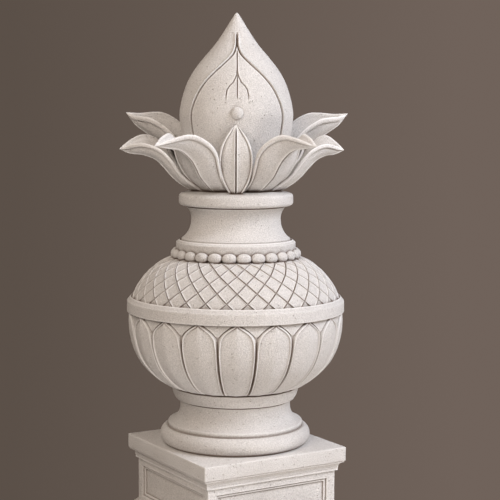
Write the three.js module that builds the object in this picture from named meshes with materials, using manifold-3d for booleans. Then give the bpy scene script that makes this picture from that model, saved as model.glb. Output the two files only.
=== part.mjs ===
// A cast stone finial on the cap and head of its square post.
// Millimetres, +Z up. The origin is the centre of the underside of the post head.
// The post is square to X and Y. The finial is turned on it, so that its front leaf looks past a corner.
import * as THREE from "three";
import { mergeVertices } from "three/addons/utils/BufferGeometryUtils.js";
import Module from "manifold-3d";

const wasm = await Module();
wasm.setup();

const JOINT = 0.3; // the mortar bed left open between two pieces
const FINIAL_TURN = -30; // degrees from the post's own front to the finial's front

// Post head: the panelled top of the square post
const POST_SIDE = 270;
const POST_HEIGHT = 86;
const PANEL_MARGIN_SIDE = 23;
const PANEL_MARGIN_END = 19;
const PANEL_STEP = 7; // width of the ledge round the panel
const PANEL_STEP_DEPTH = 3;

// Post cap: a square slab over a hollow bed moulding. Half widths of its square.
const CAP_HALF = 150;
const CAP_THICK = 26.5;
const CAP_ARRIS = 1.5; // the small rounding of the slab's edges
const BED_TOP_HALF = 147.5;
const BED_FOOT_HALF = 139;
const BED_TOP_FILLET = 2.5;
const BED_FOOT_FILLET = 5;
const BED_HEIGHT = 18;
const BED_HOLLOW_STEPS = 4;

// Finial: heights above its own underside, and radii
const FINIAL_SIDES = 28; // facets of the plain turned mouldings
const FOOT_HEIGHT = 106;
const BOWL_TOP = 262;
const BAND_FOOT = 247.2;
const BAND_TOP = 275;
const BAND_RADIUS = 202;
const BAND_SIDES = 44;
const NECK_FOOT = 345;
const COLLAR_TOP = 471;
const BUD_WIDEST = 105.2;
const BUD_TIP = 796;

// Leaves round the bowl
const LEAF_COUNT = 18;
const LEAF_TIP = 251;
const LEAF_SHOULDER = 217; // below this height the leaves touch
const LEAF_FILL = 0.97; // share of its own sector that a leaf takes at the shoulder
const LEAF_RIM = 0.9; // where the raised rim runs, as a share of the leaf's half width
const LEAF_GROOVE = 5;
const LEAF_HOLLOW = 1.6; // how far the leaf's face lies below its rim

// Net of diamonds on the shoulder
const NET_LINES = 32;
const NET_GROOVE = 1.4;
const NET_CUSHION = 0.8;

// String of beads under the neck
const BEAD_COUNT = 27;
const BEAD_RING = 112.5;
const BEAD_HEIGHT = 353.8;
const BEAD_SIZE = { along: 12.9, out: 8.6, up: 10 };

// Bud: a leaf outline cut into the front and back, with a stud in it
const SEPAL_FOOT = 560;
const SEPAL_POINT = 740;
const SEPAL_ANGLES = [50, 51, 51.3, 50.2, 46.8, 41.2, 32, 19.2, 5.9, 0.7]; // half of it, from its foot up
const SEPAL_HALF_ANGLE = 51; // where its column stands on the nominal circle
const SEPAL_GROOVE = 2.6;
const VEIN_TOP = 727;
const VEIN_FOOT = 635;
const VEIN_GROOVE = 1.8;
const STUD_HEIGHT = 612.5;
const STUD_SIZE = { along: 11.4, out: 7, up: 11.4 };

const radians = THREE.MathUtils.degToRad;

// A point at a radius, an angle from the front towards the viewer's right, and a height
function polar(radius, degrees, height) {
  const angle = radians(degrees);
  return new THREE.Vector3(radius * Math.sin(angle), -radius * Math.cos(angle), height);
}

// Keeps the vertices and faces of a geometry, turned out where they came inside out
function closed(geometry) {
  geometry.deleteAttribute("normal");
  geometry.deleteAttribute("uv");
  const merged = mergeVertices(geometry, 1e-3);
  const position = merged.attributes.position;
  const index = Array.from(merged.index.array);
  const corner = [new THREE.Vector3(), new THREE.Vector3(), new THREE.Vector3()];
  const faces = [];
  let volume = 0;
  for (let face = 0; face < index.length; face += 3) {
    const [a, b, c] = index.slice(face, face + 3);
    if (a === b || b === c || c === a) continue;
    faces.push(a, b, c);
    [a, b, c].forEach((vertex, k) => corner[k].fromBufferAttribute(position, vertex));
    volume += corner[0].dot(corner[1].cross(corner[2]));
  }
  if (volume < 0) faces.reverse();
  merged.setIndex(faces);
  return merged;
}

function solid(geometry) {
  const ready = closed(geometry);
  return new wasm.Manifold(new wasm.Mesh({
    numProp: 3,
    vertProperties: new Float32Array(ready.attributes.position.array),
    triVerts: new Uint32Array(ready.index.array),
  }));
}

function geometryOf(body) {
  const mesh = body.getMesh();
  const geometry = new THREE.BufferGeometry();
  geometry.setAttribute("position", new THREE.BufferAttribute(new Float32Array(mesh.vertProperties), 3));
  geometry.setIndex(new THREE.BufferAttribute(new Uint32Array(mesh.triVerts), 1));
  return geometry;
}

// A turned body. Place gives each vertex from its column and its row on the outline,
// and crossed picks the quads that are split along their other diagonal.
function turned(outline, sides, place, crossed = () => false) {
  const points = outline.map(([radius, height]) => new THREE.Vector2(radius, height));
  const lathe = new THREE.LatheGeometry(points, sides);
  const rows = points.length;
  const position = lathe.attributes.position;
  for (let column = 0; column <= sides; column += 1) {
    for (let row = 0; row < rows; row += 1) {
      const { x, y, z } = place(column % sides, row, outline[row]);
      position.setXYZ(column * rows + row, x, y, z);
    }
  }
  const faces = [];
  for (let column = 0; column < sides; column += 1) {
    for (let row = 0; row < rows - 1; row += 1) {
      const low = column * rows + row;
      const [a, b, c, d] = [low, low + 1, low + rows + 1, low + rows];
      if (crossed(column, row)) faces.push(a, b, d, b, c, d);
      else faces.push(a, b, c, a, c, d);
    }
  }
  lathe.setIndex(faces);
  return solid(lathe);
}

const plain = (sides) => (column, row, [radius, height]) => polar(radius, (360 * column) / sides, height);

// An ellipsoid set on a radius, with its pole outwards
function boss(size, radius, degrees, height, around, rings) {
  const ball = new THREE.SphereGeometry(1, around, rings);
  ball.scale(size.along, size.out, size.up);
  ball.rotateZ(radians(degrees));
  const { x, y, z } = polar(radius, degrees, height);
  ball.translate(x, y, z);
  return solid(ball);
}

// A smooth line through evenly spaced pairs of values
function smoothLine(pairs) {
  return new THREE.SplineCurve(pairs.map(([first, second]) => new THREE.Vector2(first, second)));
}

// Foot: torus, fillet, scotia and the ring that carries the bowl
function foot() {
  const outline = [
    [0, 0], [122, 0], [135, 5], [140, 17], [135.5, 29.5], [125.5, 34.4], [125.5, 40],
    [112.5, 49.5], [103.5, 66], [104.6, 82.6], [110.5, 83.6], [116.4, 93], [118.2, 102],
    [111, FOOT_HEIGHT], [0, FOOT_HEIGHT],
  ];
  return turned(outline, FINIAL_SIDES, plain(FINIAL_SIDES));
}

// Half width of a bowl leaf at a height, in degrees
function leafHalf(height) {
  const widest = (180 / LEAF_COUNT) * LEAF_FILL;
  const down = THREE.MathUtils.clamp((LEAF_TIP - height) / (LEAF_TIP - LEAF_SHOULDER), 0.03, 1);
  return widest * Math.sin((Math.PI / 2) * down) ** 0.9;
}

// Bowl: the columns of each leaf run along its groove, rims and middle
function bowl() {
  const outline = [
    [0, 104], [106, 105.5], [122, 109], [141.5, 119], [161.5, 136], [179, 157.5], [191, 183],
    [198, LEAF_SHOULDER], [199, 234], [198.2, LEAF_TIP], [197.5, BOWL_TOP], [0, BOWL_TOP],
  ];
  const columns = 4;
  const place = (column, row, [radius, height]) => {
    const half = leafHalf(height);
    const sector = 180 / LEAF_COUNT;
    const across = [-sector, -half * LEAF_RIM, 0, half * LEAF_RIM][column % columns];
    const inset = [LEAF_GROOVE, 0, LEAF_HOLLOW, 0][column % columns];
    const carved = row > 0 && row < outline.length - 1 ? inset : 0;
    const middle = 2 * sector * Math.floor(column / columns);
    return polar(radius - carved, middle + across, height);
  };
  return turned(outline, columns * LEAF_COUNT, place);
}

function band() {
  const outline = [
    [0, BAND_FOOT], [199, BAND_FOOT], [BAND_RADIUS, 250.6], [BAND_RADIUS, 266.5], [195.6, BAND_TOP],
    [186, 272], [0, 272],
  ];
  return turned(outline, BAND_SIDES, plain(BAND_SIDES));
}

// Shoulder: net lines cross on every second vertex, and the diamonds swell between them
function shoulder() {
  const outline = [
    [0, BOWL_TOP], [194, 264], [187.6, 283.4], [177.8, 299.8], [166.2, 314.8], [153.5, 326.8],
    [138.2, 338], [122.8, 346.2], [107, 350], [0, 350],
  ];
  const columns = 2 * NET_LINES;
  const crosses = (column, row) => (column + row) % 2 === 1;
  const place = (column, row, [radius, height]) => {
    const inside = row < 1 || row > outline.length - 2;
    const relief = crosses(column, row) ? -NET_GROOVE : NET_CUSHION;
    return polar(radius + (inside ? 0 : relief), (360 * column) / columns, height);
  };
  return turned(outline, columns, place, (column, row) => !crosses(column, row));
}

// Ring, cavetto neck and rounded collar
function neck() {
  const outline = [
    [0, NECK_FOOT], [104, NECK_FOOT], [110.6, 364], [110.4, 376], [101.4, 381.4],
    [91.5, 391.5], [84, 407], [83.6, 428], [89.8, 442], [100, 444],
    [105.8, 450.5], [105.4, 460], [97, 468], [0, COLLAR_TOP],
  ];
  return turned(outline, FINIAL_SIDES, plain(FINIAL_SIDES));
}

// Half width of the outline cut into the bud, in degrees, at a height
const sepalLine = smoothLine(SEPAL_ANGLES.map((angle) => [angle, 0]));
function sepalHalf(height) {
  return sepalLine.getPoint(THREE.MathUtils.clamp((height - SEPAL_FOOT) / (SEPAL_POINT - SEPAL_FOOT), 0, 0.94)).x;
}

// Bud: its columns are drawn together towards the point, so that one of them follows the cut line
function bud() {
  const outline = [
    [0, 460], [72, 468], [89, 527], [100, 572], [BUD_WIDEST, 606],
    [102.6, 630], [95, 655], [85, 678], [70, 701.5], [52, 723.5], [33.5, 746],
    [17, 771.5], [5.5, 790.5], [0, BUD_TIP],
  ];
  const quarter = [0, 4, 17, 32, 47, SEPAL_HALF_ANGLE, 55, 66, 78];
  const vein = quarter.indexOf(0);
  const cut = quarter.indexOf(SEPAL_HALF_ANGLE);
  const columns = 4 * quarter.length;
  const place = (column, row, [radius, height]) => {
    const turn = Math.floor(column / quarter.length);
    const step = column % quarter.length;
    const mirrored = turn % 2 === 1;
    const own = mirrored ? (quarter.length - step) % quarter.length : step;
    const nominal = mirrored && step === 0 ? 90 : quarter[own];
    const half = sepalHalf(height);
    const share = (90 - half) / (90 - SEPAL_HALF_ANGLE);
    const inner = nominal <= SEPAL_HALF_ANGLE;
    const angle = inner ? (nominal * half) / SEPAL_HALF_ANGLE : 90 - (90 - nominal) * share;
    const onVein = nominal === quarter[vein] && height < VEIN_TOP && height > VEIN_FOOT;
    const onCut = nominal === quarter[cut] && height < SEPAL_POINT && height > 480;
    const depth = (onVein ? VEIN_GROOVE : 0) + (onCut ? SEPAL_GROOVE : 0);
    return polar(radius - depth, 90 * turn + (mirrored ? 90 - angle : angle), height);
  };
  return turned(outline, columns, place);
}

// A petal's line from its root to its tip, evenly spaced: reach, height, half width and the lift of its rims
const FRONT_LEAF = [
  [78, 462, 7, 0], [92, 472, 14, 0], [103, 489, 23, 0], [111, 507, 29, 0], [117, 526, 31, 0],
  [120, 545, 29, 0], [119, 563, 23, 0], [114, 579, 13, 0], [107, 592, 1, 0],
];
const NEAR_PETAL = [
  [67, 466, 30, 1], [89, 478, 31, 5], [108, 490, 34, 11], [124, 502, 38, 20], [136, 517, 40, 27],
  [147, 534, 35, 29], [162, 548, 26, 27], [182, 552, 17, 17], [209, 555, 1, 0],
];
const SIDE_PETAL = [
  [67, 464, 31, 2], [88, 475, 36, 8], [106, 486, 39, 13], [121, 499, 40, 17], [135, 515, 40, 23],
  [150, 530, 37, 26], [169, 538, 30, 26], [187, 540, 19, 19], [207, 546, 1, 0],
];
const HIGH_PETAL = [
  [69, 486, 25, 0], [86, 507, 30, 11], [100, 526, 34, 24], [117, 542, 37, 35], [136, 553, 37, 42],
  [158, 565, 34, 42], [177, 578, 26, 31], [197, 592, 15, 17], [217, 613, 1, 0],
];
// Root and tip are degrees round the finial. Roll lifts the edge that is further round, and wider adds to
// the half width on that side. Reach is added at the tip: once for a petal on its own, and for a pair once
// for its right petal and once for its left one.
const PETALS = [
  { line: FRONT_LEAF, root: 0, tip: 0, roll: 0, wider: 0, reach: [0] },
  { line: NEAR_PETAL, root: 180, tip: 180, roll: 0, wider: 0, reach: [0] },
  { line: NEAR_PETAL, root: 32, tip: 41, roll: 1, wider: 15, reach: [0, 8] },
  { line: SIDE_PETAL, root: 78, tip: 86, roll: 11, wider: 0, reach: [-8, 8] },
  { line: NEAR_PETAL, root: 128, tip: 135, roll: 0, wider: 10, reach: [0, 0] },
  { line: HIGH_PETAL, root: 107, tip: 104, roll: 6, wider: 0, reach: [0, -4] },
  { line: HIGH_PETAL, root: 152, tip: 153, roll: 0, wider: 0, reach: [0, 0] },
];
const PETAL_THICK = 9.5;
const PETAL_AROUND = 8;
const PETAL_ALONG = 8;
const PETAL_SWAY_START = 0.45; // the share of its length where a petal begins to lean to the side

// A petal: the ball's poles are its root and tip, and its girth is the outer face, rims and inner face
function petal({ line, root, tip, roll, wider }, reach, side) {
  const { smoothstep } = THREE.MathUtils;
  const course = smoothLine(line.map(([out, up]) => [out, up]));
  const spread = smoothLine(line.map(([, , half, rise]) => [half, rise]));
  const ball = new THREE.SphereGeometry(1, PETAL_AROUND, PETAL_ALONG);
  const { position, uv } = ball.attributes;
  for (let vertex = 0; vertex < position.count; vertex += 1) {
    const along = 1 - uv.getY(vertex);
    const pole = along < 1e-6 || along > 1 - 1e-6;
    const round = pole ? 0 : 2 * Math.PI * uv.getX(vertex);
    const across = pole ? 0 : Math.cos(round);
    const inner = Math.max(0, Math.sin(round));
    const { x: plainOut, y: up } = course.getPoint(along);
    const out = plainOut + reach * smoothstep(along, 0.55, 1);
    const { x: plainHalf, y: lift } = spread.getPoint(along);
    const gain = across > 0 ? wider * smoothstep(along, -0.1, 0.3) * (1 - smoothstep(along, 0.4, 0.85)) : 0;
    const aside = (plainHalf + gain) * across;
    const rise = lift * across ** 2 + roll * across * Math.sin(Math.PI * along);
    const thick = PETAL_THICK * inner * (1 - 0.6 * along);
    const turn = root + (tip - root) * smoothstep(along, PETAL_SWAY_START, 1);
    const spot = polar(out - aside ** 2 / (2 * out) - thick * (1 - along), turn, up + rise + thick * along);
    spot.add(polar(aside, turn + 90, 0));
    position.setXYZ(vertex, spot.x * side, spot.y, spot.z);
  }
  return solid(ball);
}

function finial() {
  const bosses = [];
  for (let bead = 0; bead < BEAD_COUNT; bead += 1) {
    bosses.push(boss(BEAD_SIZE, BEAD_RING, (360 * (bead + 0.5)) / BEAD_COUNT, BEAD_HEIGHT, 6, 3));
  }
  bosses.push(boss(STUD_SIZE, BUD_WIDEST - 1, 0, STUD_HEIGHT, 8, 5));
  bosses.push(boss(STUD_SIZE, BUD_WIDEST - 1, 180, STUD_HEIGHT, 8, 5));
  const petals = PETALS.flatMap((one) => one.reach.map((reach, index) => petal(one, reach, index ? -1 : 1)));
  const bodies = [foot(), bowl(), band(), shoulder(), neck(), bud(), ...petals, ...bosses];
  return bodies.reduce((whole, body) => whole.add(body));
}

// A square body from a profile of half widths and heights
function squareTurned(profile) {
  const points = profile.map(([half, height]) => new THREE.Vector2(half * Math.SQRT2, height));
  const lathe = new THREE.LatheGeometry(points, 4);
  lathe.rotateX(Math.PI / 2);
  lathe.rotateZ(Math.PI / 4);
  return solid(lathe);
}

function postCap() {
  const hollow = [];
  const hollowFoot = BED_FOOT_FILLET;
  const hollowTop = BED_HEIGHT - BED_TOP_FILLET;
  for (let step = 0; step <= BED_HOLLOW_STEPS; step += 1) {
    const angle = (Math.PI / 2) * (step / BED_HOLLOW_STEPS);
    const half = BED_TOP_HALF - (BED_TOP_HALF - BED_FOOT_HALF) * Math.cos(angle);
    hollow.push([half, hollowFoot + (hollowTop - hollowFoot) * Math.sin(angle)]);
  }
  const top = BED_HEIGHT + CAP_THICK;
  return squareTurned([
    [0, 0], [BED_FOOT_HALF, 0], ...hollow, [BED_TOP_HALF, BED_HEIGHT],
    [CAP_HALF - CAP_ARRIS, BED_HEIGHT], [CAP_HALF, BED_HEIGHT + CAP_ARRIS],
    [CAP_HALF, top - CAP_ARRIS], [CAP_HALF - CAP_ARRIS, top], [0, top],
  ]);
}

function postHead() {
  const block = new THREE.BoxGeometry(POST_SIDE, POST_SIDE, POST_HEIGHT);
  block.translate(0, 0, POST_HEIGHT / 2);
  let body = solid(block);
  for (const turn of [0, 90, 180, 270]) {
    for (const level of [1, 2]) {
      const inset = (level - 1) * PANEL_STEP;
      const width = POST_SIDE - 2 * (PANEL_MARGIN_SIDE + inset);
      const height = POST_HEIGHT - 2 * (PANEL_MARGIN_END + inset);
      const recess = new THREE.BoxGeometry(width, 2 * level * PANEL_STEP_DEPTH, height);
      recess.translate(0, -POST_SIDE / 2, POST_HEIGHT / 2);
      recess.rotateZ(radians(turn));
      body = body.subtract(solid(recess));
    }
  }
  return body;
}

const stone = { color: "#d8cec6", roughness: 0.92, metalness: 0 };

function piece(name, body, height, turn = 0) {
  const mesh = new THREE.Mesh(geometryOf(body), new THREE.MeshStandardMaterial(stone));
  mesh.name = name;
  mesh.position.z = height;
  mesh.rotation.z = radians(turn);
  return mesh;
}

const capFoot = POST_HEIGHT + JOINT;
const capTop = capFoot + BED_HEIGHT + CAP_THICK;
const part = new THREE.Group();
part.add(piece("post_head", postHead(), 0));
part.add(piece("post_cap", postCap(), capFoot));
part.add(piece("finial", finial(), capTop + JOINT, FINIAL_TURN));

export default part;
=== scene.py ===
# A cast stone post finial with its square cap and the head of its post.
import math

import bmesh
import bpy
from mathutils import Matrix, Vector


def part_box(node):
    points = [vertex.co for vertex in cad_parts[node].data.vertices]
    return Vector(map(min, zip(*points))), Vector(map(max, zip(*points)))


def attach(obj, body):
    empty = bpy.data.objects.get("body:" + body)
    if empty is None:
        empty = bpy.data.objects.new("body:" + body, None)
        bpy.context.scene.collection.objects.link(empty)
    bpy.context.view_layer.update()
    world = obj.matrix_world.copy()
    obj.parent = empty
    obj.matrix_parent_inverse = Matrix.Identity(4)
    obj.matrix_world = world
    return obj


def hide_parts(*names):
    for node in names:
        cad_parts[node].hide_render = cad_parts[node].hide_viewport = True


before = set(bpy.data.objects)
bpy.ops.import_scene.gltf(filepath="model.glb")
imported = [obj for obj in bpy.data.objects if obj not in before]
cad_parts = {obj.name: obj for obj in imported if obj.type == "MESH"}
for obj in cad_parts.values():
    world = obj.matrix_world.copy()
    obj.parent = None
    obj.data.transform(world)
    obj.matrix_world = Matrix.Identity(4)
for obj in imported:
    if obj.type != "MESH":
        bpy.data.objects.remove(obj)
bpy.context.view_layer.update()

# Post head: the top of the square post, cast in the same stone as the rest. Each face has a sunk panel
# whose border steps down twice, with a fine groove at the foot of each step. The post runs on below, so
# the head is cut off flat there.
MM = 0.001  # shapes are drawn in millimetres and turned to metres when they are set in place
HEAD_MARGIN_SIDE = 23  # plain border beside a panel
HEAD_MARGIN_END = 19  # plain border above and below it
HEAD_LEDGE = 4.8
HEAD_STEP = 3
HEAD_SPLAY = 0.6  # how far the wall of each step leans
HEAD_QUIRK = 0.8  # half the width of the fine groove
HEAD_QUIRK_DEPTH = 1.4
HEAD_ARRIS = 0.9
STEP_ARRIS = 0.3
STONE_LIGHT = (0.715, 0.688, 0.668, 1)
STONE_DEEP = (0.67, 0.64, 0.616, 1)
# The pale colour below is laid on arrises and ridges, partly as wear and partly as a painted highlight.
STONE_WEAR_AND_HIGHLIGHT = (0.9, 0.88, 0.865, 1)
# The dark colour below marks dirt in the pits, and dust with painted shade in the hollows.
STONE_DIRT_AND_SHADE = (0.16, 0.095, 0.055, 1)
STONE_ROUGHNESS = 0.88
STONE_GLOSS = 0.25
CLOUD_SCALE, PIT_SCALE, SAND_SCALE = 11, 135, 500  # how many there are to a metre
PIT_DIRT = 0.6  # how much dirt the pits hold, as a share
SAND_RELIEF = 0.0024  # in metres, as the two below
# Reach of the lightening on arrises: wear and painted highlight.
WEAR_AND_HIGHLIGHT_REACH = 0.004
# Reach of the darkening in hollows: dust and painted shade.
DUST_AND_SHADE_REACH = 0.006
DUST_AND_SHADE_COVER = 0.92  # share of dust and painted shade in the tightest corners


def cast_stone(name, dust_and_shade_at_neighbours):
    """Reconstituted stone: fine sand grain, a few open pits, faint clouding, wear and a painted highlight
    on its arrises, and dust with painted shade in its hollows, also where it meets its neighbours if asked
    for."""
    stone = bpy.data.materials.new(name)
    stone.use_nodes = True
    nodes, links = stone.node_tree.nodes, stone.node_tree.links
    shader = nodes["Principled BSDF"]
    shader.inputs["Roughness"].default_value = STONE_ROUGHNESS
    shader.inputs["Specular IOR Level"].default_value = STONE_GLOSS
    place = nodes.new("ShaderNodeTexCoord").outputs["Object"]

    def noise(scale, detail, roughness=0.5):
        field = nodes.new("ShaderNodeTexNoise")
        field.inputs["Scale"].default_value = scale
        field.inputs["Detail"].default_value = detail
        field.inputs["Roughness"].default_value = roughness
        links.new(place, field.inputs["Vector"])
        return field.outputs["Fac"]

    def spread(value, low, high, to_low, to_high):
        share = nodes.new("ShaderNodeMapRange")
        limits = {"From Min": low, "From Max": high, "To Min": to_low, "To Max": to_high}
        for socket, number in limits.items():
            share.inputs[socket].default_value = number
        links.new(value, share.inputs["Value"])
        return share.outputs["Result"]

    def blend(kind, share, base, top):
        mix = nodes.new("ShaderNodeMix")
        mix.data_type = "RGBA"
        mix.blend_type = kind
        for socket, value in (("Factor", share), ("A", base), ("B", top)):
            slot = next(s for s in mix.inputs if s.name == socket and s.enabled)
            if isinstance(value, bpy.types.NodeSocket):
                links.new(value, slot)
            else:
                slot.default_value = value
        return next(s for s in mix.outputs if s.enabled)

    def combine(operation, first, second):
        math_node = nodes.new("ShaderNodeMath")
        math_node.operation = operation
        links.new(first, math_node.inputs[0])
        links.new(second, math_node.inputs[1])
        return math_node.outputs[0]

    def close_by(distance, inside, alone):
        shelter = nodes.new("ShaderNodeAmbientOcclusion")
        shelter.inputs["Distance"].default_value = distance
        shelter.inside = inside
        shelter.only_local = alone
        shelter.samples = 6
        return shelter.outputs["AO"]

    clouds = spread(noise(CLOUD_SCALE, detail=4), 0.35, 0.65, 0, 1)
    colour = blend("MIX", clouds, STONE_DEEP, STONE_LIGHT)
    sand = noise(SAND_SCALE, detail=2, roughness=0.7)
    grain = spread(sand, 0.3, 0.7, 0.78, 1.15)
    colour = blend("MULTIPLY", 1.0, colour, grain)
    cells = nodes.new("ShaderNodeTexVoronoi")
    cells.inputs["Scale"].default_value = PIT_SCALE
    links.new(place, cells.inputs["Vector"])
    hollow = spread(cells.outputs["Distance"], 0.07, 0.16, 1, 0)
    chosen = spread(cells.outputs["Color"], 0.5, 0.6, 0, 1)
    pits = combine("MULTIPLY", hollow, chosen)
    colour = blend("MIX", spread(pits, 0, 1, 0, PIT_DIRT), colour, STONE_DIRT_AND_SHADE)
    # Arrises and ridges are lightened: partly wear, partly a painted highlight where the light catches
    # them.
    wear_and_highlight = spread(close_by(WEAR_AND_HIGHLIGHT_REACH, True, True), 0.5, 0.97, 1, 0)
    colour = blend("MIX", wear_and_highlight, colour, STONE_WEAR_AND_HIGHLIGHT)
    # Hollows, creases and joints are darkened: partly dust, partly painted shade where the light does not
    # reach.
    dust_and_shade = spread(close_by(DUST_AND_SHADE_REACH, False, not dust_and_shade_at_neighbours), 0.28, 0.93, DUST_AND_SHADE_COVER, 0)
    colour = blend("MIX", dust_and_shade, colour, STONE_DIRT_AND_SHADE)
    links.new(colour, shader.inputs["Base Color"])

    bump = nodes.new("ShaderNodeBump")
    bump.inputs["Strength"].default_value = 1.0
    bump.inputs["Distance"].default_value = SAND_RELIEF
    links.new(combine("SUBTRACT", sand, pits), bump.inputs["Height"])
    links.new(bump.outputs["Normal"], shader.inputs["Normal"])
    return stone


def set_in_place(shape, name, node, stone, place, arris=32):
    """Puts a finished shape in its node's place, smooth but for edges sharper than the arris angle."""
    bmesh.ops.transform(shape, matrix=place, verts=shape.verts)
    bmesh.ops.recalc_face_normals(shape, faces=shape.faces)
    mesh = bpy.data.meshes.new(name)
    shape.to_mesh(mesh)
    shape.free()
    mesh.shade_smooth()
    mesh.set_sharp_from_angle(angle=math.radians(arris))
    mesh.materials.append(stone)
    piece = bpy.data.objects.new(name, mesh)
    bpy.context.scene.collection.objects.link(piece)
    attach(piece, "root")
    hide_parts(node)


def sharp_edges(shape, least):
    """The edges that turn by more than an angle in degrees."""
    return [edge for edge in shape.edges if edge.calc_face_angle(0) > math.radians(least)]


def ease_edges(shape, edges, width):
    """Rounds edges over the given width."""
    bmesh.ops.bevel(
        shape, geom=edges, offset=width, offset_type="OFFSET", segments=3, profile=0.5,
        affect="EDGES", clamp_overlap=True, material=-1,
    )


head_low, head_high = (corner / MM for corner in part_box("post_head"))
head_size = head_high - head_low
head_block = Matrix.Translation((head_low + head_high) / 2) @ Matrix.Diagonal((*head_size, 1))
head = bmesh.new()
bmesh.ops.create_cube(head, size=1, matrix=head_block)
head.normal_update()
sides = [face for face in head.faces if abs(face.normal.z) < 0.5]
bmesh.ops.inset_individual(head, faces=sides, thickness=HEAD_MARGIN_END)
narrower = (head_size.x / 2 - HEAD_MARGIN_SIDE) / (head_size.x / 2 - HEAD_MARGIN_END)
for face in sides:
    along = Vector((abs(face.normal.y), abs(face.normal.x), 0))
    for corner in face.verts:
        corner.co -= along * corner.co.dot(along) * (1 - narrower)
step = [(HEAD_SPLAY, -HEAD_STEP), (HEAD_QUIRK, -HEAD_QUIRK_DEPTH), (HEAD_QUIRK, HEAD_QUIRK_DEPTH)]
for thickness, depth in step + [(HEAD_LEDGE, 0)] + step:
    bmesh.ops.inset_individual(head, faces=sides, thickness=thickness, depth=depth)
head.normal_update()
ease_edges(head, sharp_edges(head, 80), HEAD_ARRIS)
head.normal_update()
ease_edges(head, sharp_edges(head, 35), STEP_ARRIS)
# The post's stone is darkened only in its own hollows, with no painted shade from the pieces it meets.
post_stone = cast_stone("post_stone", dust_and_shade_at_neighbours=False)
set_in_place(head, "post_head_panelled", "post_head", post_stone, Matrix.Scale(MM, 4))

# Post cap: one square casting, a plain slab over a bed moulding of two fillets with a hollow between them.
# It sits on the post head in mortar and carries the finial on its flat top.
CAP_ARRIS = 2.2
BED_FOOT_HALF = 139
BED_TOP_HALF = 147.5
BED_HEIGHT = 18
ARC_STEP = math.radians(9)
WELD = 0.001  # points closer than this are one


def outline(start, *runs):
    """An outline of (radius, height) points. A run ends at its radius and height, and a third number
    makes it an arc that swells outwards by that share of its chord."""
    points = [Vector(start)]
    for radius, height, *swell in runs:
        begin, end = points[-1], Vector((radius, height))
        if swell:
            chord = end - begin
            half_turn = 2 * math.atan(2 * swell[0])
            reach = chord.length / (2 * math.sin(half_turn))
            ahead, outward = chord.normalized(), Vector((chord.y, -chord.x)).normalized()
            steps = max(2, math.ceil(2 * abs(half_turn) / ARC_STEP))
            for step in range(1, steps):
                turn = half_turn * (2 * step / steps - 1)
                rise = reach * (math.cos(turn) - math.cos(half_turn))
                points.append((begin + end) / 2 + outward * rise + ahead * reach * math.sin(turn))
        points.append(end)
    return points


def turned(points, steps):
    """A body turned from its outline, which starts and ends on the axis."""
    body = bmesh.new()
    corners = [body.verts.new((point.x, 0, point.y)) for point in points]
    edges = [body.edges.new(pair) for pair in zip(corners, corners[1:])]
    bmesh.ops.spin(
        body, geom=corners + edges, cent=(0, 0, 0), axis=(0, 0, 1),
        angle=math.tau, steps=steps, use_merge=True,
    )
    bmesh.ops.remove_doubles(body, verts=body.verts, dist=WELD)
    return body


cap_low, cap_high = (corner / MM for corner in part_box("post_cap"))
cap_half, cap_height = cap_high.x, cap_high.z - cap_low.z
cap = turned(
    outline(
        (0, 0), (BED_FOOT_HALF, 0), (BED_FOOT_HALF, 4.6), (BED_FOOT_HALF + 0.8, 5.2),
        (BED_TOP_HALF - 1, 15.2, -0.2), (BED_TOP_HALF, 15.6), (BED_TOP_HALF, BED_HEIGHT),
        (cap_half, BED_HEIGHT), (cap_half, cap_height), (0, cap_height),
    ),
    steps=4,
)
# Four steps give a square that stands on its corner and is too small by the root of two.
square_up = Matrix.Rotation(math.radians(45), 4, "Z") @ Matrix.Diagonal((math.sqrt(2), math.sqrt(2), 1, 1))
bmesh.ops.transform(cap, matrix=square_up, verts=cap.verts)
slab_edges = [
    edge for edge in sharp_edges(cap, 30)
    if min(corner.co.z for corner in edge.verts) > BED_HEIGHT - 1
    and max(abs(corner.co.x) for corner in edge.verts) > BED_TOP_HALF + 1
]
ease_edges(cap, slab_edges, CAP_ARRIS)
cap_place = Matrix.Translation((0, 0, cap_low.z * MM)) @ Matrix.Scale(MM, 4)
set_in_place(cap, "post_cap_moulded", "post_cap", post_stone, cap_place)

# Foot: the finial is one casting, bedded on the cap and turned so that its front leaf looks past a corner.
# It starts with a full torus, a thin fillet, a scotia and the ring that the bowl springs from.
FINIAL_TURN = math.radians(-30)
AROUND = 160  # steps in a full turn
finial_foot = Matrix.Translation((0, 0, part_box("finial")[0].z))
finial_place = finial_foot @ Matrix.Rotation(FINIAL_TURN, 4, "Z") @ Matrix.Scale(MM, 4)
# The finial's stone is darkened with dust and painted shade also where its pieces meet.
finial_stone = cast_stone("finial_stone", dust_and_shade_at_neighbours=True)
foot = turned(
    outline(
        (0, 0), (131, 0), (130, 32, 0.31),  # torus
        (125.2, 31.8), (125, 33.4), (125.8, 35), (125.6, 39), (124.4, 40.4, 0.2), (121.6, 41.4),  # fillet
        (103, 68, -0.16), (104.6, 80.4, -0.06), (103, 82), (104.8, 83.4),  # scotia
        (110.5, 83.6), (118, 103.6, 0.08), (116.8, 106.2, 0.2), (110.5, 107), (109, 112), (0, 112),  # ring
    ),
    AROUND,
)
set_in_place(foot, "foot", "finial", finial_stone, finial_place)

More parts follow.
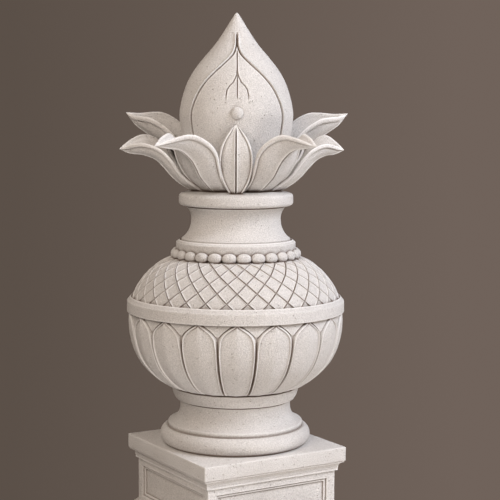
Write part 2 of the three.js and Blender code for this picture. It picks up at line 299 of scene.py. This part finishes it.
# Bowl: eighteen upright leaves side by side, each with a rounded rim, a flat face that lifts to a soft
# middle ridge, and a deep groove to its neighbour. Flat sunk corners are left under the band between the
# leaf points.
LEAF_COUNT = 18
LEAF_POINT = 250
LEAF_SHOULDER = 217
LEAF_FILL = 0.975  # share of its sector that a leaf takes below its shoulder
LEAF_ARCH = 0.9  # less is a blunter point
LEAF_LEAST = 0.02  # above the point, the leaf goes on this narrow
BOWL_LINE = [
    (106, 105.5), (122, 109), (141.5, 119), (161.5, 136), (179, 157.5),
    (191, 183), (197.5, 210), (199, 230), (198.4, 246), (197.5, 257),
]
LEAF_RIM = [  # distance in from the leaf's edge, and depth below the bowl's own outline
    (0, 5.6), (0.5, 4.2), (1.0, 2.4), (1.5, 0.9), (2.0, 0.2), (2.5, 0), (3.0, 0.5), (3.5, 1.6), (4.2, 2.3),
]
RIM_MOST = 0.86  # share of a narrow leaf that its rims may take
LEAF_CREST = 2.5  # where the rim is highest, in from the leaf's edge
LEAF_SWELL = 1.2  # how much wider the rim gets, as a share, between each pair of heights below
LEAF_SWELLS = [(196, 226), (230, 249)]
LEAF_FACE_STEPS = 6
LEAF_RIDGE = 3.3  # how far the middle ridge stands over the face
GROOVE_DEPTH = 6.4
GROOVE_HALF = 0.6  # half the width of its floor
GROOVE_FOOT = (105, 113)  # heights over which the leaves rise out of the ring
CORNER_DEPTH = 3.8  # of the flat sunk corners
CORNER_CUT = 1.3
CORNER_OPENS = (1.5, 5)  # half gaps between which the groove opens to a flat corner
BOWL_ROWS = 76
ROW_CROWDING = 1.5  # more draws the rows together towards the leaf points


def eased(value, low, high):
    """0 below the low value, 1 above the high one, and smooth between them."""
    share = min(1, max(0, (value - low) / (high - low)))
    return share * share * (3 - 2 * share)


def along_line(points, place):
    """The point at a share of a smooth line through evenly spaced points."""
    last = len(points) - 1
    place = min(max(place, 0), 1) * last
    index = min(int(place), last - 1)
    share = place - index
    before, begin = Vector(points[max(index - 1, 0)]), Vector(points[index])
    end, after = Vector(points[index + 1]), Vector(points[min(index + 2, last)])
    lean_in, lean_out = (end - before) / 2, (after - begin) / 2
    square, cube = share**2, share**3
    return (
        begin * (2 * cube - 3 * square + 1) + lean_in * (cube - 2 * square + share)
        + end * (3 * square - 2 * cube) + lean_out * (cube - square)
    )


def outward_at(points, place):
    """The direction straight out of a turned outline at a share of its length."""
    nearby = 0.004
    step = along_line(points, place + nearby) - along_line(points, place - nearby)
    return Vector((step.y, -step.x)).normalized()


def leaf_half(height):
    """Half the width of a leaf at a height, as a share of half its sector."""
    down = min(1, max(LEAF_LEAST, (LEAF_POINT - height) / (LEAF_POINT - LEAF_SHOULDER)))
    return LEAF_FILL * math.sin(math.pi / 2 * down) ** LEAF_ARCH


def leaf_column(index, half, sector, height):
    """How far from the leaf's middle a column runs, and how deep, at one height of the bowl. The columns
    cross the face from the middle, climb the rim, and end in the groove and the sunk corner."""
    widened = LEAF_CREST * LEAF_SWELL * sum(eased(height, low, high) for low, high in LEAF_SWELLS)
    narrowed = min(1, RIM_MOST * half / (LEAF_RIM[-1][0] + widened))
    rim = [((place + widened * min(1, place / LEAF_CREST)) * narrowed, depth) for place, depth in LEAF_RIM]
    inner = half - rim[-1][0]
    if index <= LEAF_FACE_STEPS:
        share = index / LEAF_FACE_STEPS
        return inner * share, rim[-1][1] - LEAF_RIDGE * (1 - share)
    index -= LEAF_FACE_STEPS
    if index < len(LEAF_RIM):
        distance, depth = rim[-1 - index]
        return half - distance, depth
    gap = sector - half
    index -= len(LEAF_RIM) - 1
    open_corner = eased(gap, *CORNER_OPENS)
    reach = [min(GROOVE_HALF, gap / 2), min(CORNER_CUT, 0.8 * gap), gap][index - 1]
    flat = CORNER_DEPTH if index > 1 else GROOVE_DEPTH
    return half + reach, GROOVE_DEPTH + (flat - GROOVE_DEPTH) * open_corner


def bowl_leaf():
    """One leaf with half of the groove on each side of it."""
    columns = LEAF_FACE_STEPS + len(LEAF_RIM) - 1 + 3
    leaf = bmesh.new()
    bmesh.ops.create_grid(leaf, x_segments=2 * columns, y_segments=BOWL_ROWS, size=1)
    for corner in leaf.verts:
        column = round(corner.co.x * columns)
        share = 1 - (1 - (corner.co.y + 1) / 2) ** ROW_CROWDING
        radius, height = along_line(BOWL_LINE, share)
        sector = radius * math.pi / LEAF_COUNT
        across, depth = leaf_column(abs(column), leaf_half(height) * sector, sector, height)
        depth *= eased(height, *GROOVE_FOOT)
        out = outward_at(BOWL_LINE, share)
        angle = math.copysign(across, column) / radius
        radius, height = radius - out.x * depth, height - out.y * depth
        corner.co = (radius * math.sin(angle), -radius * math.cos(angle), height)
    return leaf


def everything(shape):
    """All parts of a shape, as the operators take them."""
    return shape.verts[:] + shape.edges[:] + shape.faces[:]


def repeat_round(shape, count):
    """Sets a number of copies of a shape round the axis."""
    bmesh.ops.spin(
        shape, geom=everything(shape), cent=(0, 0, 0), axis=(0, 0, 1),
        angle=math.tau * (count - 1) / count, steps=count - 1, use_duplicate=True,
    )


def close_ends(shape):
    """Closes a body above and below."""
    bmesh.ops.holes_fill(shape, edges=[edge for edge in shape.edges if edge.is_boundary], sides=0)


bowl = bowl_leaf()
repeat_round(bowl, LEAF_COUNT)
bmesh.ops.remove_doubles(bowl, verts=bowl.verts, dist=WELD)
close_ends(bowl)
set_in_place(bowl, "bowl_of_leaves", "finial", finial_stone, finial_place, arris=50)

# Band: the plain fillet round the widest part of the bowl, with a splayed top edge that sheds water
# and a narrow groove where the shoulder starts.
band = turned(
    outline(
        (0, 247.2), (200, 247.2), (202, 249, 0.2), (202, 265.6), (200.6, 268.8, 0.12),
        (196.2, 274.2), (194.6, 275.2, 0.15), (191.8, 272.6), (186, 271), (0, 271),
    ),
    AROUND,
)
set_in_place(band, "band", "finial", finial_stone, finial_place)

# Shoulder: a swelling quarter round cut with a net of lines, cast in one with the bowl. Thirty-two lines
# run each way, with a slight lip on each side, and each diamond between them is slightly cushioned.
NET_LINES = 32
NET_ROWS = 8  # half diamonds from the bottom of the net to its top
SHOULDER_LINE = [
    (197.5, 248), (193.2, 266), (187.6, 283.4), (177.8, 299.8), (166.2, 314.8),
    (153.5, 326.8), (138.2, 338), (122.8, 344.6), (107, 346),
]
NET_FOOT, NET_TOP = 252, 351  # heights at which the net is cut off level, behind the band and the beads
RUN_ON = 100  # how far it runs on past each end of that line to be cut
RUN_UP = 60
FIRST_CROSSING = 3  # the point of that line on which net lines cross at the front
NET_SPACING = [0, 0.02, 0.038, 0.062, 0.1, 0.2, 0.5, 0.8, 0.9, 0.938, 0.962, 0.98]
NET_WIDTH = 0.038  # half a line's width, as a share of a diamond's side
NET_LIP_END = 0.1  # where the lip beside a line ends, as such a share
NET_DEPTH = 1.2
NET_LIP = 1.3
NET_CUSHION = 0.8


def net_height(across, along):
    """How far the net's surface stands out at a place given in lines each way."""
    near = min(abs(across - round(across)), abs(along - round(along)))
    line = -NET_DEPTH * max(0, 1 - near / NET_WIDTH)
    crest = NET_WIDTH * 1.6
    lip = NET_LIP * eased(near, NET_WIDTH * 0.7, crest) * (1 - eased(near, crest, NET_LIP_END))
    cushion = NET_CUSHION * math.sqrt(abs(math.sin(math.pi * across) * math.sin(math.pi * along)))
    return line + lip + cushion


def net_strip():
    """A strip of diamonds that climbs from the band to the neck beside one line of the net."""
    steps = len(NET_SPACING)
    strip = bmesh.new()
    bmesh.ops.create_grid(strip, x_segments=steps, y_segments=steps * (NET_ROWS + 1), size=0.5)
    half_row = math.pi / NET_LINES
    for corner in strip.verts:
        column = round((corner.co.x + 0.5) * steps)
        row = round((corner.co.y + 0.5) * steps * (NET_ROWS + 1))
        across = column // steps + (NET_SPACING + [0])[column % steps]
        along = row // steps + NET_SPACING[row % steps] - (NET_ROWS + 1) + FIRST_CROSSING
        climb = (across - along + FIRST_CROSSING) / NET_ROWS
        radius, height = along_line(SHOULDER_LINE, climb)
        out = outward_at(SHOULDER_LINE, climb) * net_height(across, along)
        below, above = min(climb, 0), max(climb - 1, 0)
        angle = (across + along) * half_row
        radius += out.x - RUN_ON * above
        height += out.y + RUN_ON * below + RUN_UP * above
        corner.co = (radius * math.sin(angle), -radius * math.cos(angle), height)
    return strip


net = net_strip()
repeat_round(net, NET_LINES)
bmesh.ops.remove_doubles(net, verts=net.verts, dist=WELD)
for height, side in ((NET_FOOT, -1), (NET_TOP, 1)):
    bmesh.ops.bisect_plane(
        net, geom=everything(net), plane_co=(0, 0, height), plane_no=(0, 0, side), clear_outer=True,
    )
close_ends(net)
set_in_place(net, "shoulder_net", "finial", finial_stone, finial_place, arris=60)

# Beads: a string of round beads in the corner under the neck ring, a little wider than they are high. They
# are cast in one with the shoulder.
BEAD_COUNT = 27
BEAD_RING = 112.5
BEAD_HEIGHT = 353.8
BEAD_ALONG, BEAD_OUT, BEAD_UP = 13.7, 8.6, 10  # half sizes of a bead
beads = bmesh.new()
on_ring = Matrix.Translation((0, -BEAD_RING, BEAD_HEIGHT))
first_bead = Matrix.Rotation(math.pi / BEAD_COUNT, 4, "Z") @ on_ring
bmesh.ops.create_uvsphere(
    beads, u_segments=24, v_segments=14, radius=1,
    matrix=first_bead @ Matrix.Diagonal((BEAD_ALONG, BEAD_OUT, BEAD_UP, 1)),
)
repeat_round(beads, BEAD_COUNT)
set_in_place(beads, "beads", "finial", finial_stone, finial_place, arris=60)

# Neck: a ring over the beads, a hollow waist, and the thick rounded collar that the petals grow from. It is
# plain and round, and cast in one with the shoulder below.
neck = turned(
    outline(
        (0, 344), (104, 344), (109, 358), (110.8, 364.4), (110.8, 374.6), (109.8, 376.2, 0.2),  # ring
        (105, 380.2), (103.6, 377), (102, 377), (100.6, 382.4), (83.2, 415, -0.12), (91, 440.4, -0.11),
        (89.6, 441.8), (91.4, 443), (99, 443.4), (105.8, 450, 0.2), (105.8, 459),  # underside of the collar
        (99, 466.6, 0.2), (84, 470.4), (0, 472),
    ),
    AROUND,
)
set_in_place(neck, "neck_and_collar", "finial", finial_stone, finial_place)

# Bud: a pointed bud with the outline of one leaf cut into its front and one into its back. The two sides of
# the outline meet and run on to the tip as one line, and a vein with two flames fades out over the stud.
BUD_LINE = [
    (60, 460), (74, 470), (84, 506), (93, 540), (100.5, 574), (104.6, 606), (102.6, 627), (97.2, 648.7),
    (89.2, 670.6), (76.5, 692.5), (59.4, 714.3), (40.8, 736.1), (25.6, 757.8), (11.9, 779.5), (3.4, 793),
]
BUD_FOOT, BUD_TIP = 458, 795.5
BUD_ROWS = 210
CUT_FOOT, CUT_POINT = 560, 740
CUT_ANGLES = [  # half the leaf, in degrees, from its foot up
    50, 51, 51.3, 50.2, 46.8, 41.2, 32, 19.2, 5.9, 0.7,
]
CUT_TOP = (751, 761)  # heights between which the outline fades out
CUT_LINES = [0, 0.5, 1.0, 1.5, 2.0, 2.6, 3.4, 4.4]  # columns beside the cut, in millimetres from it
CUT_WIDTH = 1.8
CUT_DEPTH = 3.2
CUT_LIP, CUT_INNER_LIP = 2.6, 0.5  # outside the cut leaf, and inside it
VEIN_FOOT, VEIN_TOP = (633, 645), (721, 727)  # heights over which the vein fades
FLAME = [  # degrees from the vein, and height, from its root down to where it fades out
    (0, 690), (0.9, 681), (1.9, 676), (4.5, 667), (8.3, 661), (10.9, 654), (11.6, 645), (11.7, 632),
]
FLAME_FOOT = (632, 646)  # heights over which the flames fade
FLAME_SPREAD = 16  # degrees from the vein, past which nothing of a flame shows
FLAME_DEPTH = 2.4
FLAME_WIDTH = 1.3
FLAME_LIP = 0.5
FLAME_COLUMNS = 30
SIDE_COLUMNS = 12
SHARE_OF_FLAMES = 0.29  # how much of the half leaf the close columns take
SLIM_BELOW = 20  # the cut's outer columns draw together where the bud's radius is less


def cut_half(height):
    """Half the width of the cut leaf at a height, in degrees."""
    share = (height - CUT_FOOT) / (CUT_POINT - CUT_FOOT)
    return along_line([(angle, 0) for angle in CUT_ANGLES], share).x


def engraved(distance, width, depth, lip):
    """The section of a cut line with a slight lip on each side of it."""
    rise = lip * eased(distance, width * 0.7, width * 1.4) * (1 - eased(distance, width * 1.5, width * 2.7))
    return rise - depth * (1 - eased(distance, 0, width))


def deeper(first, second):
    """The deeper of two cuts, or the higher of their lips where neither is cut."""
    return min(first, second) if min(first, second) < 0 else max(first, second)


def flame_cut(angle, radius, height):
    """How far the vein and the flames stand out, less than 0 where they are cut, at a place on the bud."""
    arc = math.radians(1) * radius
    fade = eased(height, *VEIN_FOOT) * (1 - eased(height, *VEIN_TOP))
    cut = engraved(abs(angle) * arc, FLAME_WIDTH, FLAME_DEPTH, FLAME_LIP) * fade
    for (wide, high), (next_wide, low) in zip(FLAME, FLAME[1:]):
        if low <= height <= high:
            share = (high - height) / (high - low)
            at = wide + (next_wide - wide) * share
            slant = math.cos(math.atan((next_wide - wide) * arc / (high - low)))
            side = engraved(abs(abs(angle) - at) * arc * slant, FLAME_WIDTH, FLAME_DEPTH, FLAME_LIP)
            side *= eased(height, *FLAME_FOOT)
            cut = deeper(cut, side)
    return cut


def bud_column(index, half, radius):
    """The angle of a column from the middle of the cut leaf. Columns lie close together at the flames and
    beside the cut line."""
    arc = math.radians(1) * radius
    narrow = min(1, 0.8 * half * arc / CUT_LINES[-1])
    inner = half - CUT_LINES[-1] * narrow / arc
    inside = FLAME_COLUMNS + SIDE_COLUMNS
    if index <= FLAME_COLUMNS:
        return inner * SHARE_OF_FLAMES * index / FLAME_COLUMNS
    if index <= inside:
        return inner * (SHARE_OF_FLAMES + (1 - SHARE_OF_FLAMES) * (index - FLAME_COLUMNS) / SIDE_COLUMNS)
    index -= inside
    if index < len(CUT_LINES):
        return half - CUT_LINES[-1 - index] * narrow / arc
    index -= len(CUT_LINES) - 1
    slim = min(1, radius / SLIM_BELOW)
    if index < len(CUT_LINES):
        return half + CUT_LINES[index] / arc * slim
    outer = half + CUT_LINES[-1] / arc * slim
    index -= len(CUT_LINES) - 1
    return outer + (90 - outer) * index / SIDE_COLUMNS


def bud_half():
    """The front half of the bud, from one side to the other."""
    columns = FLAME_COLUMNS + 2 * SIDE_COLUMNS + 2 * (len(CUT_LINES) - 1)
    half_bud = bmesh.new()
    bmesh.ops.create_grid(half_bud, x_segments=2 * columns, y_segments=BUD_ROWS, size=1)
    for corner in half_bud.verts:
        column = round(corner.co.x * columns)
        share = (corner.co.y + 1) / 2
        radius, height = along_line(BUD_LINE, share)
        half = cut_half(height)
        angle = bud_column(abs(column), half, radius)
        arc = math.radians(1) * radius
        lip = CUT_LIP if angle > half else CUT_INNER_LIP
        cut = engraved(abs(angle - half) * arc, CUT_WIDTH, CUT_DEPTH, lip)
        cut *= 1 - eased(height, *CUT_TOP)
        if angle < FLAME_SPREAD and VEIN_FOOT[0] < height < VEIN_TOP[1]:
            cut = deeper(cut, flame_cut(angle, radius, height))
        out = outward_at(BUD_LINE, share) * cut
        radius, height = radius + out.x, height + out.y
        turn = math.radians(math.copysign(angle, column))
        corner.co = (radius * math.sin(turn), -radius * math.cos(turn), height)
    return half_bud


bud = bud_half()
repeat_round(bud, 2)
bmesh.ops.remove_doubles(bud, verts=bud.verts, dist=WELD)
for end, line_end in ((BUD_FOOT, BUD_LINE[0]), (BUD_TIP, BUD_LINE[-1])):
    open_edges = [edge for edge in bud.edges if edge.is_boundary]
    rim = [edge for edge in open_edges if abs(edge.verts[0].co.z - line_end[1]) < 3]
    made = bmesh.ops.extrude_edge_only(bud, edges=rim)["geom"]
    for corner in (v for v in made if isinstance(v, bmesh.types.BMVert)):
        corner.co = (0, 0, end)
bmesh.ops.remove_doubles(bud, verts=bud.verts, dist=WELD)
set_in_place(bud, "bud", "finial", finial_stone, finial_place, arris=60)

# Studs: a round boss on the front of the bud and one on its back, in the middle of the cut leaf. Each is a
# flattened ball, sunk to about half in the bud and cast in one with it.
STUD_HEIGHT = 612.5
STUD_REACH = 103.6
STUD_SIDE, STUD_OUT = 11.4, 8.4  # half sizes of a stud
studs = bmesh.new()
stud_place = Matrix.Translation((0, -STUD_REACH, STUD_HEIGHT)) @ Matrix.Rotation(math.pi / 2, 4, "X")
bmesh.ops.create_uvsphere(
    studs, u_segments=36, v_segments=24, radius=1,
    matrix=stud_place @ Matrix.Diagonal((STUD_SIDE, STUD_SIDE, STUD_OUT, 1)),
)
repeat_round(studs, 2)
set_in_place(studs, "studs", "finial", finial_stone, finial_place, arris=60)

# Petals: twelve leaves that spring from the collar, cast in one with it. The front one lies on the bud,
# seven spread outwards with their rims curled over, and four more stand higher behind them. All have a
# rolled rim and a double midrib.
FRONT_LEAF = [  # rows of reach, height, half width and the lift of the rims, from root to tip
    (78, 462, 7, 0), (92, 472, 14, 0), (103, 489, 23, 0), (111, 507, 29, 0), (117, 526, 31, 0),
    (120, 545, 29, 0), (119, 563, 23, 0), (114, 579, 13, 0), (107, 592, 1, 0),
]
NEAR_PETAL = [
    (67, 466, 30, 1), (89, 478, 31, 5), (108, 490, 34, 11), (124, 502, 38, 20), (136, 517, 40, 27),
    (147, 534, 35, 29), (162, 548, 26, 27), (182, 552, 17, 17), (209, 555, 1, 0),
]
SIDE_PETAL = [
    (67, 464, 31, 2), (88, 475, 36, 8), (106, 486, 39, 13), (121, 499, 40, 17), (135, 515, 40, 23),
    (150, 530, 37, 26), (169, 538, 30, 26), (187, 540, 19, 19), (207, 546, 1, 0),
]
HIGH_PETAL = [
    (69, 486, 25, 0), (86, 507, 30, 11), (100, 526, 34, 24), (117, 542, 37, 35), (136, 553, 37, 42),
    (158, 565, 34, 42), (177, 578, 26, 31), (197, 592, 15, 17), (217, 613, 1, 0),
]
PETAL_RIB = [(0, -2.6), (0.7, -1.2), (1.5, 1.7), (2.3, 1.8), (3.6, 0)]  # from the middle: place, and relief
PETAL_EDGE = [  # in from the edge: place, relief of the outer face, and depth of the inner face
    (6.2, 0, 6.4), (5.0, -1.3, 6.6), (4.3, 0.2, 6.8), (3.5, 1.5, 6.8), (2.4, 1.7, 6.5), (1.4, 1.0, 5.8),
    (0.5, -0.6, 4.4), (0, -2.2, 2.4),
]
PETAL_MIDDLE_STEPS = 2
PETAL_THICK = 8.5
PETAL_SLIMS = 0.45  # share of its thickness that a petal loses towards its tip
PETAL_ALONG = 52
NEAR_ALONG, NEAR_ASIDE = 0.01, 0.4  # how far off the spots lie that give a petal's slope at a spot
PETAL_SWAY = 0.45  # share of its length where a petal begins to lean round the finial
FULL_WIDTH = 15  # narrower than this half width, the rims and rib narrow with the petal
LONGER_FROM = 0.55  # share of its length past which a petal grows longer than its line
# Each row holds a petal's line, the turns of its root and its tip in degrees, how far it rolls over, how
# much wider its further half is, and how much longer it is on the right and on the left.
PETALS = [
    (FRONT_LEAF, -1, -1, 0, 0, (0,)),
    (NEAR_PETAL, 180, 180, 0, 0, (0,)),
    (NEAR_PETAL, 32, 41, 1, 15, (0, 8)),
    (SIDE_PETAL, 78, 86, 11, 0, (-8, 8)),
    (NEAR_PETAL, 128, 135, 0, 10, (0, 0)),
    (HIGH_PETAL, 107, 104, 6, 0, (0, -4)),
    (HIGH_PETAL, 152, 153, 0, 0, (0, 0)),
]


def far_gain(wider, share, aside):
    """How much wider a petal's half on the side further round the finial is than the other half."""
    return wider * eased(share, -0.1, 0.3) * (1 - eased(share, 0.4, 0.85)) if aside > 0 else 0


def petal_spot(line, root, tip, roll, wider, longer, share, aside):
    """A point on a petal's middle surface, given how far along it lies and how far from its midrib."""
    out, up, half, rise = along_petal(line, share)
    out += longer * eased(share, LONGER_FROM, 1)
    half += far_gain(wider, share, aside)
    across = max(-1, min(1, aside / max(half, 0.3)))
    turn = math.radians(root + (tip - root) * eased(share, PETAL_SWAY, 1))
    inward = out - aside**2 / (2 * out)
    height = up + rise * across**2 + roll * across * math.sin(math.pi * share)
    return Vector((
        inward * math.sin(turn) + aside * math.cos(turn),
        aside * math.sin(turn) - inward * math.cos(turn),
        height,
    ))


def along_petal(line, share):
    """Reach, height, half width and rim lift at a share of a petal's length."""
    reach, height = along_line([row[:2] for row in line], share)
    half, rise = along_line([row[2:] for row in line], share)
    return reach, height, half, rise


def petal_columns(half):
    """Places across half of a petal, with the relief of its outer face and the depth of its inner one."""
    narrow = min(1, half / FULL_WIDTH)
    rib = [(place * narrow, relief * narrow, PETAL_THICK) for place, relief in PETAL_RIB]
    edge = [(half - place * narrow, relief, depth) for place, relief, depth in PETAL_EDGE]
    between = []
    for step in range(1, PETAL_MIDDLE_STEPS + 1):
        share = step / (PETAL_MIDDLE_STEPS + 1)
        place = rib[-1][0] + (edge[0][0] - rib[-1][0]) * share
        between.append((place, 0, PETAL_THICK + (edge[0][2] - PETAL_THICK) * share))
    return rib + between + edge


def petal(line, root, tip, roll, wider, longer):
    """A closed petal. A ball's poles are its root and tip, and its girth runs over both faces and rims."""
    columns = len(PETAL_RIB) + PETAL_MIDDLE_STEPS + len(PETAL_EDGE) - 1
    ball = bmesh.new()
    bmesh.ops.create_uvsphere(ball, u_segments=4 * columns, v_segments=PETAL_ALONG, radius=1)
    for corner in ball.verts:
        share = math.acos(max(-1, min(1, -corner.co.z))) / math.pi
        step = round(math.atan2(corner.co.y, corner.co.x) / math.tau * 4 * columns) % (4 * columns)
        outer = step <= 2 * columns
        from_middle = columns - step if outer else step - 3 * columns
        half = along_petal(line, share)[2] + far_gain(wider, share, from_middle)
        place, relief, depth = petal_columns(half)[abs(from_middle)]
        at_end = min(share, 1 - share) < 0.001
        aside = 0 if at_end else math.copysign(place, from_middle)
        shaped = (line, root, tip, roll, wider, longer)
        middle = petal_spot(*shaped, share, aside)
        ahead = petal_spot(*shaped, min(1, share + NEAR_ALONG), aside)
        behind = petal_spot(*shaped, max(0, share - NEAR_ALONG), aside)
        right = petal_spot(*shaped, share, aside + NEAR_ASIDE)
        left = petal_spot(*shaped, share, aside - NEAR_ASIDE)
        outward = (right - left).cross(ahead - behind).normalized()
        if outer and abs(from_middle) < columns:
            shift = relief * eased(half, 0, 10)
        else:
            shift = -depth * (1 - PETAL_SLIMS * share) * eased(half, 0, 12)
        corner.co = middle + outward * shift
    return ball


petals = bmesh.new()
for line, root, tip, roll, wider, gains in PETALS:
    for longer, side in zip(gains, (1, -1)):
        one = petal(line, root, tip, roll, wider, longer)
        bmesh.ops.scale(one, vec=(side, 1, 1), verts=one.verts)
        mesh = bpy.data.meshes.new("petal")
        one.to_mesh(mesh)
        one.free()
        petals.from_mesh(mesh)
        bpy.data.meshes.remove(mesh)
set_in_place(petals, "petals", "finial", finial_stone, finial_place, arris=60)

# Studio: a small pale round floor, a plain taupe room that is lighter on the right, a soft key light from
# the upper right, and a wide fill from the left and one from below.
FLOOR_RADIUS = 0.2
FLOOR_COLOUR = (0.6, 0.56, 0.52, 1)
FLOOR_ROUGHNESS = 0.9
CAMERA_TURN = -30.8
CAMERA_DISTANCE = 2.516
CAMERA_HEIGHT = 0.7436
CAMERA_PITCH = 5.74
CAMERA_YAW = 0.57
CAMERA_ROLL = -0.3
CAMERA_LENS, CAMERA_SENSOR = 97.92, 36
ROOM_LEFT = (0.104, 0.080, 0.065, 1)
ROOM_RIGHT = (0.162, 0.124, 0.104, 1)
ROOM_EDGE = 0.16  # how far from the middle of the view the room's shade stops changing
LIGHTS_AIM = 0.5  # height in metres that the lights look at

floor_shape = bmesh.new()
bmesh.ops.create_circle(floor_shape, cap_ends=True, segments=128, radius=FLOOR_RADIUS)
floor_mesh = bpy.data.meshes.new("floor")
floor_shape.to_mesh(floor_mesh)
floor_shape.free()
floor = bpy.data.objects.new("floor", floor_mesh)
bpy.context.scene.collection.objects.link(floor)
pale = bpy.data.materials.new("pale_floor")
pale.use_nodes = True
pale.node_tree.nodes["Principled BSDF"].inputs["Base Color"].default_value = FLOOR_COLOUR
pale.node_tree.nodes["Principled BSDF"].inputs["Roughness"].default_value = FLOOR_ROUGHNESS
floor_mesh.materials.append(pale)

room = bpy.data.worlds.new("room")
room.use_nodes = True
room_nodes, room_links = room.node_tree.nodes, room.node_tree.links
across_room = room_nodes.new("ShaderNodeVectorMath")
across_room.operation = "DOT_PRODUCT"
across_room.inputs[1].default_value = Matrix.Rotation(math.radians(CAMERA_TURN), 3, "Z") @ Vector((1, 0, 0))
room_links.new(room_nodes.new("ShaderNodeTexCoord").outputs["Generated"], across_room.inputs[0])
room_shade = room_nodes.new("ShaderNodeMapRange")
room_shade.inputs["From Min"].default_value = -ROOM_EDGE
room_shade.inputs["From Max"].default_value = ROOM_EDGE
room_links.new(across_room.outputs["Value"], room_shade.inputs["Value"])
room_colour = room_nodes.new("ShaderNodeMix")
room_colour.data_type = "RGBA"
room_colour.inputs["A"].default_value = ROOM_LEFT
room_colour.inputs["B"].default_value = ROOM_RIGHT
room_links.new(room_shade.outputs["Result"], room_colour.inputs["Factor"])
room_links.new(room_colour.outputs["Result"], room_nodes["Background"].inputs["Color"])
bpy.context.scene.world = room
bpy.context.scene.view_settings.view_transform = "Standard"


def soft_light(name, turn, rise, distance, size, power, tint):
    """A square light that looks at the middle of the finial from a turn and a rise in degrees."""
    lamp = bpy.data.lights.new(name, "AREA")
    lamp.size, lamp.energy, lamp.color = size, power, tint
    light = bpy.data.objects.new(name, lamp)
    bpy.context.scene.collection.objects.link(light)
    turn, rise = math.radians(turn), math.radians(rise)
    back = Vector((math.sin(turn) * math.cos(rise), -math.cos(turn) * math.cos(rise), math.sin(rise)))
    light.location = Vector((0, 0, LIGHTS_AIM)) + back * distance
    light.rotation_euler = back.to_track_quat("Z", "Y").to_euler()


soft_light("key", turn=34, rise=37, distance=3.0, size=1.5, power=91, tint=(0.95, 0.98, 1.05))
soft_light("fill", turn=-67, rise=34, distance=3.2, size=3.0, power=83, tint=(1, 0.90, 0.80))
soft_light("low_fill", turn=-2, rise=-42, distance=3.0, size=2.6, power=60, tint=(1, 0.95, 0.90))

lens = bpy.data.cameras.new("camera")
lens.sensor_width = CAMERA_SENSOR
lens.lens = CAMERA_LENS
camera = bpy.data.objects.new("camera", lens)
bpy.context.scene.collection.objects.link(camera)
camera_turn = math.radians(CAMERA_TURN)
camera.location = (
    CAMERA_DISTANCE * math.sin(camera_turn), -CAMERA_DISTANCE * math.cos(camera_turn), CAMERA_HEIGHT,
)
camera.rotation_euler = (
    math.radians(90 - CAMERA_PITCH), math.radians(CAMERA_ROLL), math.radians(CAMERA_TURN - CAMERA_YAW),
)
bpy.context.scene.camera = camera
